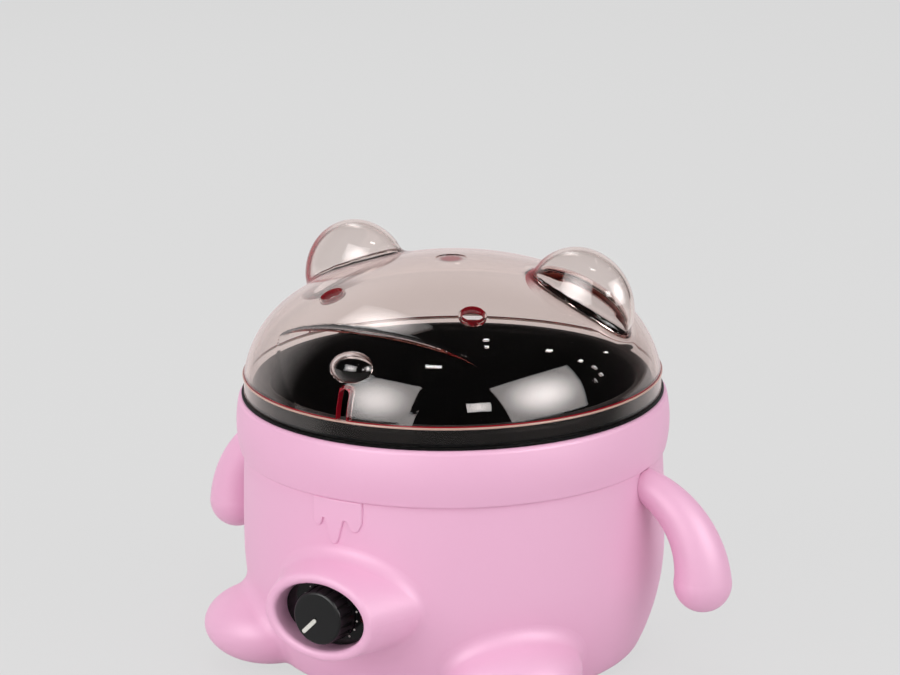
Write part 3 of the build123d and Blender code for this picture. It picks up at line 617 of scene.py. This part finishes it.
pink = mouldedPlastic("satinPink", pinkLook)
black = mouldedPlastic("blackPlastic", blackLook)
knobBlack = mouldedPlastic("knobBlack", knobLook)
panelBlack = mouldedPlastic("panelBlack", panelLook)
roseClear = roseLid("roseClear", lidLook)
lensAmber = clearPlastic("lensAmber", lensLook)
lampGlass = clearPlastic("lampGlass", lampLook)
potBlack = nonStick("potBlack", potLook)
aluminium = spunMetal("spunAluminium", aluminiumLook)
steel = spunMetal("platedSteel", steelLook)
brass = spunMetal("contactBrass", brassLook)
copper = spunMetal("bulbCopper", copperLook)
padRubber = softRubber("padRubber", padLook)
gasketRubber = softRubber("gasketRubber", gasketLook)
wireBrown = softRubber("wireBrown", brownWire)
wireBlue = softRubber("wireBlue", blueWire)
wireWhite = softRubber("wireWhite", whiteWire)
mica = flakySheet("micaSheet", micaLook)

finishes = [
    (pink, ["tub_shell", "collar_ring", "arm_left", "arm_right"]),
    (roseClear, ["lid"]),
    (potBlack, ["wax_pot"]),
    (aluminium, ["heating_well", "heater_disc", "clamp_plate"]),
    (steel, ["arm_screws", "well_screws", "base_screws", "clamp_nut", "bulb_clips", "fuse_clip",
             "thermostat_nut", "thermostat_shaft", "thermal_fuse"]),
    (brass, ["heater_terminals", "thermostat_blades", "inlet_pins"]),
    (copper, ["sensor_bulb"]),
    (black, ["thermostat", "mains_inlet", "base_cover"]),
    (knobBlack, ["dial_knob"]),
    (panelBlack, ["dial_plate"]),
    (lensAmber, ["lamp_lens"]),
    (lampGlass, ["lamp"]),
    (padRubber, ["base_pad"]),
    (gasketRubber, ["well_gasket"]),
    (mica, ["mica_sheet"]),
    (wireBrown, ["live_wire"]),
    (wireBlue, ["neutral_wire"]),
    (wireWhite, ["thermostat_wire", "fuse_wire"]),
]
for material, names in finishes:
    for name in names:
        nodes[name].data.materials.clear()
        nodes[name].data.materials.append(material)
print("finishes on", sum(len(names) for material, names in finishes), "nodes")

lidShell = makeLid(lidRim)
lidShell.data.materials.clear()
lidShell.data.materials.append(roseClear)
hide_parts("lid")
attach(lidShell, "lid")
print("lid shell with", len(lidShell.data.polygons), "faces")


dialMarks = {                   # metres, round the knob's axis
    "centre": (0.0, 0.0395),    # across and up
    "ring": 0.0109,             # radius of the row of dots, between the knob and the panel's edge
    "dots": 16,
    "start": 225.0,             # degrees from +X towards +Z, turning clockwise
    "sweep": 270.0,
    "smallest": 0.00016,
    "largest": 0.00040,
    "taper": 0.9,               # a dot's front face against its foot
    "sides": 24,
    "rise": 0.00008,            # how far the print stands off the panel
    "pointerInner": 0.0010,
    "pointerOuter": 0.0084,
    "pointerWidth": 0.0015,
    "pointerDepth": 0.00055,    # from the knob's front down to the groove's floor
    "pointerFill": 0.00035,
    "pointerRounding": 0.48,    # share of the width that rounds each end
    "pointerSegments": 6,
}


def printDots(front):
    look = dialMarks
    across, up = look["centre"]
    build = bmesh.new()
    for index in range(look["dots"]):
        share = index / (look["dots"] - 1)
        angle = radians(look["start"] - look["sweep"] * share)
        radius = look["smallest"] + (look["largest"] - look["smallest"]) * share
        spot = (across + cos(angle) * look["ring"], front - look["rise"] / 2, up + sin(angle) * look["ring"])
        matrix = Matrix.Translation(spot) @ Matrix.Rotation(pi / 2, 4, "X")
        bmesh.ops.create_cone(build, cap_ends=True, segments=look["sides"], radius1=radius,
                              radius2=radius * look["taper"], depth=look["rise"], matrix=matrix)
    return formObject("dialDots", build)


def paintPointer(front):
    # the white paint in the knob's groove
    look = dialMarks
    across, up = look["centre"]
    length = look["pointerOuter"] - look["pointerInner"]
    depth = look["pointerFill"]
    build = bmesh.new()
    bmesh.ops.create_cube(build, size=1.0, matrix=Matrix.Diagonal((length, depth, look["pointerWidth"], 1.0)))
    corners = [edge for edge in build.edges if abs(edge.verts[0].co.y - edge.verts[1].co.y) > depth / 2]
    bmesh.ops.bevel(build, geom=corners, offset=look["pointerWidth"] * look["pointerRounding"], affect="EDGES",
                    segments=look["pointerSegments"], profile=0.5, material=-1)
    spot = Matrix.Translation((across, front + look["pointerDepth"] - depth / 2, up))
    turn = Matrix.Rotation(-radians(look["start"]), 4, "Y")
    out = Matrix.Translation((look["pointerInner"] + length / 2, 0, 0))
    bmesh.ops.transform(build, matrix=spot @ turn @ out, verts=build.verts)
    return formObject("dialPointer", build)


dots = printDots(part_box("dial_plate")[0][1])
pointer = paintPointer(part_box("dial_knob")[0][1])
for piece, body in ((dots, "housing"), (pointer, "dial")):
    piece.data.materials.append(wireWhite)
    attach(piece, body)
print("dial marked with", dialMarks["dots"], "dots")


def direction(azimuth, elevation):
    # azimuth from the bear's front towards +X, elevation from the table, in degrees
    across = radians(azimuth)
    above = radians(elevation)
    return Vector((sin(across) * cos(above), -cos(across) * cos(above), sin(above)))


studio = {
    "background": linear(221, 221, 221),
    "fill": 0.50,               # light from all round
    "ceiling": 0.02,            # what glossy surfaces see in front of the object and above it
    "backdrop": 0.72,           # what they see behind it
    "backdropSide": 225.0,      # azimuth of the backdrop
    "backdropEdge": (0.38, 0.75),
    "backdropTop": (0.85, 0.45),
    "target": Vector((0, 0, 0.09)),
    "floorSize": 6.0,
    "floorCloud": 0.4,
    "floorTone": linear(220, 220, 220),
    "floorRoughness": 0.9,
    "floorFlat": 0.88,          # share of the floor that keeps the background's even tone
    "floorFront": (0.05, -0.15),    # the floor before the object is shaded in gloss
    "floorShade": (0.08, 0.08, 0.08, 1.0),
    "panels": {                 # soft light: azimuth, elevation, distance, width, height, radiance
        "rightPanel": (86, 26, 1.3, 1.45, 0.90, 1.50),
        "leftPanel": (-22, 23, 1.3, 1.0, 0.92, 2.30),
        "rearPanel": (-130, 32, 1.4, 1.1, 0.9, 0.9),
        "topPanel": (20, 80, 1.4, 1.0, 1.0, 1.35),
    },
    "boxFade": 1.1,             # where a box reaches its edge radiance, in half sizes from its middle
    "boxes": {                  # seen in gloss: as above, with edge and centre radiance
        "rightBox": (83.6, 26, 1.3, 1.12, 0.90, 2.8, 12.0),
        "leftBox": (-11, 23, 1.3, 1.0, 0.92, 2.8, 10.0),
        "rearBox": (-117, 57, 1.5, 0.36, 0.72, 1.2, 5.5),
        "windowBar": (45, 24, 2.2, 0.48, 0.32, 6.0, 10.0),
        "lampA": (127.8, 55.4, 1.8, 0.07, 0.09, 22.0, 22.0),
        "lampB": (164.4, 76.0, 1.8, 0.05, 0.05, 20.0, 20.0),
        "lampC": (125.2, 37.4, 1.8, 0.05, 0.08, 20.0, 20.0),
        "lampD": (19.5, 62.2, 1.8, 0.24, 0.08, 20.0, 20.0),
        "lampE": (133.3, 78.6, 1.8, 0.05, 0.05, 20.0, 20.0),
        "lampF": (143.9, 28.3, 1.8, 0.04, 0.06, 16.0, 16.0),
        "lampG": (126.7, 27.6, 1.8, 0.03, 0.12, 14.0, 14.0),
        "lampH": (125.8, 21.2, 1.8, 0.03, 0.10, 10.0, 10.0),
        "lampI": (119.2, 20.1, 1.8, 0.02, 0.10, 10.0, 10.0),
    },
}


def rayKinds(pin):
    # rays seen by the camera, also straight through the lid, and rays that a shiny surface has turned
    turned = pin.maths("GREATER_THAN", pin.node("LightPath", output="Glossy Depth"), 0.5)
    through = pin.node("LightPath", output="Is Transmission Ray")
    seen = pin.node("LightPath", output="Is Camera Ray") + through * (1 - turned)
    shiny = pin.node("LightPath", output="Is Glossy Ray") * turned
    return seen, shiny


def makeWorld():
    world = bpy.data.worlds.new("studio")
    bpy.context.scene.world = world
    world.use_nodes = True
    tree = world.node_tree
    tree.nodes.clear()
    pin = Pin(tree)
    toward = pin.node("TexCoord", output="Generated")
    side = vectorMaths(pin, "DOT_PRODUCT", toward, direction(studio["backdropSide"], 0))
    height = pin.node("SeparateXYZ", None, {0: toward}, "Z")
    behind = smoothRise(pin, side, studio["backdropEdge"]) * smoothRise(pin, height, studio["backdropTop"])
    room = behind * (studio["backdrop"] - studio["ceiling"]) + studio["ceiling"]
    seen, shiny = rayKinds(pin)
    fill = pin.node("Background", None, {"Color": (1, 1, 1, 1), "Strength": studio["fill"]})
    mirrored = pin.node("Background", None, {"Color": (1, 1, 1, 1), "Strength": room})
    wall = pin.node("Background", None, {"Color": studio["background"], "Strength": 1.0})
    around = pin.node("MixShader", None, {0: shiny, 1: fill, 2: mirrored})
    every = pin.node("MixShader", None, {0: seen, 1: around, 2: wall})
    out = tree.nodes.new("ShaderNodeOutputWorld")
    pin.plug(out.inputs["Surface"], every)


def flatSheet(name, width, height, material):
    build = bmesh.new()
    bmesh.ops.create_grid(build, x_segments=1, y_segments=1, size=0.5)
    bmesh.ops.scale(build, verts=build.verts, vec=(width, height, 1))
    mesh = bpy.data.meshes.new(name)
    build.to_mesh(mesh)
    build.free()
    mesh.materials.append(material)
    sheet = bpy.data.objects.new(name, mesh)
    bpy.context.collection.objects.link(sheet)
    return sheet


def makeFloor():
    material, pin, shader, place = startMaterial("paperFloor")
    cloud = noise(pin, place, studio["floorCloud"])
    paper = mixColour(pin, cloud, studio["background"], studio["floorTone"])
    pin.plug(shader.inputs["Base Color"], paper)
    shader.inputs["Roughness"].default_value = studio["floorRoughness"]
    seen, shiny = rayKinds(pin)
    side = vectorMaths(pin, "DOT_PRODUCT", place, direction(studio["backdropSide"], 0))
    front = smoothRise(pin, side, studio["floorFront"])
    tone = mixColour(pin, shiny * front, studio["background"], studio["floorShade"])
    even = pin.node("Emission", None, {"Color": tone, "Strength": 1.0})
    share = (seen + shiny) * studio["floorFlat"]
    both = pin.node("MixShader", None, {0: share, 1: Pin(pin.tree, shader.outputs[0]), 2: even})
    pin.plug(pin.tree.nodes["Material Output"].inputs["Surface"], both)
    floor = flatSheet("floor", studio["floorSize"], studio["floorSize"], material)


def facingTarget(azimuth, elevation, distance):
    away = direction(azimuth, elevation)
    turn = away.to_track_quat("Z", "Y").to_matrix().to_4x4()
    return Matrix.Translation(studio["target"] + away * distance) @ turn


def makePanels():
    for name, (*spot, width, height, radiance) in studio["panels"].items():
        data = bpy.data.lights.new(name, "AREA")
        data.shape = "RECTANGLE"
        data.size = width
        data.size_y = height
        data.energy = radiance * pi * width * height
        light = bpy.data.objects.new(name, data)
        light.matrix_world = facingTarget(*spot)
        light.visible_glossy = False
        light.visible_transmission = False
        bpy.context.collection.objects.link(light)


def glowSheet(name, width, height, edge, centre):
    # a sheet of light that fades from its middle to its corners
    material = bpy.data.materials.new(name)
    material.use_nodes = True
    tree = material.node_tree
    tree.nodes.remove(tree.nodes["Principled BSDF"])
    pin = Pin(tree)
    place = pin.node("TexCoord", output="Object")
    halves = vectorMaths(pin, "MULTIPLY", place, (2 / width, 2 / height, 0))
    fade = smoothRise(pin, vectorMaths(pin, "LENGTH", halves), (0.0, studio["boxFade"]))
    dim = edge / centre
    colour = mixColour(pin, fade, (1, 1, 1, 1), (dim, dim, dim, 1))
    glow = pin.node("Emission", None, {"Color": colour, "Strength": centre})
    pin.plug(tree.nodes["Material Output"].inputs["Surface"], glow)
    return material


def makeBoxes():
    for name, (*spot, width, height, edge, centre) in studio["boxes"].items():
        box = flatSheet(name, width, height, glowSheet(name, width, height, edge, centre))
        box.matrix_world = facingTarget(*spot)
        box.visible_camera = False
        box.visible_diffuse = False
        box.visible_shadow = False


view = {
    "azimuth": 30.5,
    "elevation": 17.0,
    "roll": 0.7,
    "distance": 1.1,
    "target": Vector((0, 0, 0.084)),
    "focalPixels": 3065,
    "targetPixel": (453.1, 422.5),
    "image": (900, 675),
    "sensor": 36.0,
}


def makeCamera():
    data = bpy.data.cameras.new("camera")
    width, height = view["image"]
    data.sensor_width = view["sensor"]
    data.lens = view["sensor"] * view["focalPixels"] / width
    data.shift_x = (width / 2 - view["targetPixel"][0]) / width
    data.shift_y = (view["targetPixel"][1] - height / 2) / width
    data.clip_start = 0.01
    camera = bpy.data.objects.new("camera", data)
    back = direction(view["azimuth"], view["elevation"])
    turn = back.to_track_quat("Z", "Y").to_matrix() @ Matrix.Rotation(radians(-view["roll"]), 3, "Z")
    camera.matrix_world = Matrix.Translation(view["target"] + back * view["distance"]) @ turn.to_4x4()
    bpy.context.collection.objects.link(camera)
    bpy.context.scene.camera = camera


makeWorld()
makeFloor()
makePanels()
makeBoxes()
makeCamera()
bpy.context.scene.view_settings.view_transform = "Standard"
print("studio ready")
